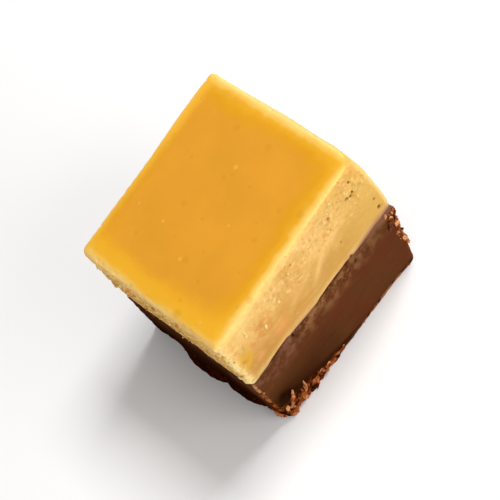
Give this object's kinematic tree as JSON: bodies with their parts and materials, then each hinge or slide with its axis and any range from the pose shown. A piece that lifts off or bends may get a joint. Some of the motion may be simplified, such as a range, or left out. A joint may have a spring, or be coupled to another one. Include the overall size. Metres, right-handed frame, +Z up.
{
  "type": "fudge cube",
  "caption": "Hand-cut fudge cube to eat: tan peanut-butter fudge set on dark chocolate fudge, with a smooth top, crumbly sides and a ragged foot, standing on its flat base.",
  "frame": {"origin": "middle of the square block's foot, on the surface that the cube stands on", "axes": "+X along the longest side, +Z up through the layers, -Y out of the cleanly cut front"},
  "size_m": [0.0309, 0.0291, 0.0249],
  "materials": {
    "peanut_butter_fudge": "soft amber-tan fudge, satin on the poured top, dry and finely crumbly on the cut sides",
    "chocolate_fudge": "dark milk-chocolate fudge, satin where the knife smeared it, with a faint pale bloom and lighter reddish crumbs at the foot"
  },
  "bodies": {
    "root": {"peanut_butter_layer": "peanut_butter_fudge", "chocolate_layer": "chocolate_fudge"}
  },
  "joints": []
}
